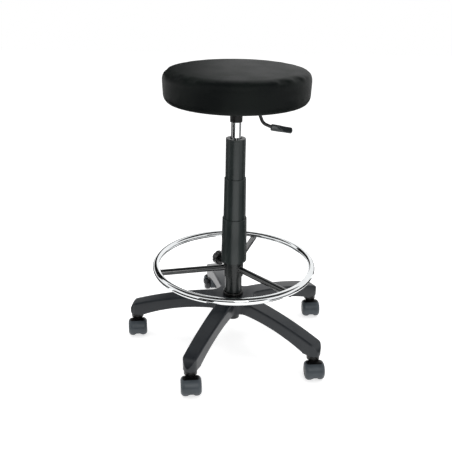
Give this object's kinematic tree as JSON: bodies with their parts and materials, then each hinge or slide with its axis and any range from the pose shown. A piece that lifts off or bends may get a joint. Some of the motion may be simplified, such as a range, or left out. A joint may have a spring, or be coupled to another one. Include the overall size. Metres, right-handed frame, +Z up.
{
  "type": "dentist stool",
  "caption": "Round upholstered stool on a gas lift with a telescopic cover, chromed foot ring, height lever and a star base on casters.",
  "frame": {"origin": "on the floor, on the stool's swivel axis", "axes": "+Z up along the column, +X towards the height lever, +Y towards the back"},
  "size_m": [0.6057, 0.6628, 0.817],
  "materials": {
    "base_nylon": "satin",
    "steel": "satin",
    "trim_plastic": "satin",
    "column_paint": "satin",
    "bush_plastic": "satin",
    "rubber_black": "matte",
    "chrome": "polished",
    "cover_plastic": "satin",
    "seat_cloth": "matte",
    "foam": "matte",
    "plywood": "matte",
    "underside_cloth": "matte",
    "zinc_steel": "satin",
    "plate_paint": "satin",
    "lever_paint": "satin",
    "handle_plastic": "satin",
    "button_plastic": "satin",
    "spoke_paint": "satin",
    "knob_plastic": "satin",
    "caster_nylon": "satin",
    "wheel_nylon": "satin"
  },
  "bodies": {
    "base": {"base_star": "base_nylon", "hub_insert": "steel", "base_collar": "trim_plastic", "standpipe": "column_paint", "guide_bush": "bush_plastic", "thrust_bearing": "steel", "caster_1_stem": "zinc_steel", "caster_2_stem": "zinc_steel", "caster_3_stem": "zinc_steel", "caster_4_stem": "zinc_steel", "caster_5_stem": "zinc_steel"},
    "rod": {"piston_rod": "steel", "piston": "steel", "bumper": "rubber_black", "retaining_clip": "steel"},
    "seat": {"pressure_tube": "chrome", "rod_seal": "rubber_black", "upper_cover": "cover_plastic", "cover_grommet": "rubber_black", "seat_cover": "seat_cloth", "seat_foam": "foam", "seat_board": "plywood", "dust_cover": "underside_cloth", "staples": "steel", "t_nuts": "zinc_steel", "plate_bolts": "zinc_steel", "plate_washers": "zinc_steel", "seat_plate": "plate_paint", "lever_pin": "steel"},
    "lever": {"lever_rod": "lever_paint", "lever_handle": "handle_plastic"},
    "button": {"release_button": "button_plastic"},
    "middle_stage": {"middle_cover": "cover_plastic"},
    "foot_rest": {"foot_ring": "chrome", "ring_spokes": "spoke_paint", "ring_hub": "spoke_paint", "hub_bush": "bush_plastic", "lower_cover": "cover_plastic"},
    "clamp": {"clamp_knob": "knob_plastic", "clamp_stud": "zinc_steel"},
    "caster_1": {"caster_1_hood": "caster_nylon", "caster_1_axle": "steel"},
    "caster_1_left": {"caster_1_wheel_left": "wheel_nylon"},
    "caster_1_right": {"caster_1_wheel_right": "wheel_nylon"},
    "caster_2": {"caster_2_hood": "caster_nylon", "caster_2_axle": "steel"},
    "caster_2_left": {"caster_2_wheel_left": "wheel_nylon"},
    "caster_2_right": {"caster_2_wheel_right": "wheel_nylon"},
    "caster_3": {"caster_3_hood": "caster_nylon", "caster_3_axle": "steel"},
    "caster_3_left": {"caster_3_wheel_left": "wheel_nylon"},
    "caster_3_right": {"caster_3_wheel_right": "wheel_nylon"},
    "caster_4": {"caster_4_hood": "caster_nylon", "caster_4_axle": "steel"},
    "caster_4_left": {"caster_4_wheel_left": "wheel_nylon"},
    "caster_4_right": {"caster_4_wheel_right": "wheel_nylon"},
    "caster_5": {"caster_5_hood": "caster_nylon", "caster_5_axle": "steel"},
    "caster_5_left": {"caster_5_wheel_left": "wheel_nylon"},
    "caster_5_right": {"caster_5_wheel_right": "wheel_nylon"}
  },
  "joints": [
    {"name": "seat_swivel", "type": "hinge", "parent": "base", "child": "rod", "pos_m": [0, 0, 0.08], "axis": [0, 0, 1], "continuous": true},
    {"name": "seat_height", "type": "slide", "parent": "rod", "child": "seat", "axis": [0, 0, 1], "range_m": [-0.2, 0]},
    {"name": "lever_lift", "type": "hinge", "parent": "seat", "child": "lever", "pos_m": [0.022, 0, 0.7245], "axis": [0, -1, 0], "range_deg": [0, 8], "stiffness_Nm_per_rad": 1.5, "springref_deg": -5.73},
    {"name": "button_press", "type": "slide", "parent": "seat", "child": "button", "axis": [0, 0, -1], "range_m": [0, 0.0031]},
    {"name": "middle_cover_slide", "type": "slide", "parent": "base", "child": "middle_stage", "axis": [0, 0, 1], "range_m": [-0.0965, 0]},
    {"name": "foot_ring_height", "type": "slide", "parent": "base", "child": "foot_rest", "axis": [0, 0, 1], "range_m": [-0.03, 0]},
    {"name": "clamp_knob_turn", "type": "hinge", "parent": "foot_rest", "child": "clamp", "pos_m": [-0.04405, 0.0544, 0.24], "axis": [-0.6293, 0.7771, 0], "range_deg": [0, 360]},
    {"name": "caster_1_swivel", "type": "hinge", "parent": "base", "child": "caster_1", "pos_m": [-0.29608, 0.0207, 0.06], "axis": [0, 0, 1], "continuous": true},
    {"name": "caster_1_left_roll", "type": "hinge", "parent": "caster_1", "child": "caster_1_left", "pos_m": [-0.29329, 0.0009, 0.024], "axis": [0.9903, 0.1392, 0], "continuous": true},
    {"name": "caster_1_right_roll", "type": "hinge", "parent": "caster_1", "child": "caster_1_right", "pos_m": [-0.29329, 0.0009, 0.024], "axis": [0.9903, 0.1392, 0], "continuous": true},
    {"name": "caster_2_swivel", "type": "hinge", "parent": "base", "child": "caster_2", "pos_m": [-0.11118, -0.27519, 0.06], "axis": [0, 0, 1], "continuous": true},
    {"name": "caster_2_left_roll", "type": "hinge", "parent": "caster_2", "child": "caster_2_left", "pos_m": [-0.10875, -0.29504, 0.024], "axis": [0.9925, 0.1219, 0], "continuous": true},
    {"name": "caster_2_right_roll", "type": "hinge", "parent": "caster_2", "child": "caster_2_right", "pos_m": [-0.10875, -0.29504, 0.024], "axis": [0.9925, 0.1219, 0], "continuous": true},
    {"name": "caster_3_swivel", "type": "hinge", "parent": "base", "child": "caster_3", "pos_m": [0.22736, -0.19078, 0.06], "axis": [0, 0, 1], "continuous": true},
    {"name": "caster_3_left_roll", "type": "hinge", "parent": "caster_3", "child": "caster_3_left", "pos_m": [0.22945, -0.21067, 0.024], "axis": [0.9945, 0.1045, 0], "continuous": true},
    {"name": "caster_3_right_roll", "type": "hinge", "parent": "caster_3", "child": "caster_3_right", "pos_m": [0.22945, -0.21067, 0.024], "axis": [0.9945, 0.1045, 0], "continuous": true},
    {"name": "caster_4_swivel", "type": "hinge", "parent": "base", "child": "caster_4", "pos_m": [0.2517, 0.15728, 0.06], "axis": [0, 0, 1], "continuous": true},
    {"name": "caster_4_left_roll", "type": "hinge", "parent": "caster_4", "child": "caster_4_left", "pos_m": [0.25344, 0.13736, 0.024], "axis": [0.9962, 0.0872, 0], "continuous": true},
    {"name": "caster_4_right_roll", "type": "hinge", "parent": "caster_4", "child": "caster_4_right", "pos_m": [0.25344, 0.13736, 0.024], "axis": [0.9962, 0.0872, 0], "continuous": true},
    {"name": "caster_5_swivel", "type": "hinge", "parent": "base", "child": "caster_5", "pos_m": [-0.0718, 0.28798, 0.06], "axis": [0, 0, 1], "continuous": true},
    {"name": "caster_5_left_roll", "type": "hinge", "parent": "caster_5", "child": "caster_5_left", "pos_m": [-0.07527, 0.30768, 0.024], "axis": [-0.9848, -0.1736, 0], "continuous": true},
    {"name": "caster_5_right_roll", "type": "hinge", "parent": "caster_5", "child": "caster_5_right", "pos_m": [-0.07527, 0.30768, 0.024], "axis": [-0.9848, -0.1736, 0], "continuous": true}
  ],
  "couplings": [
    {"joint": "button_press", "follows": "lever_lift", "m_per_rad": 0.022},
    {"joint": "middle_cover_slide", "follows": "seat_height", "ratio": 0.48}
  ]
}
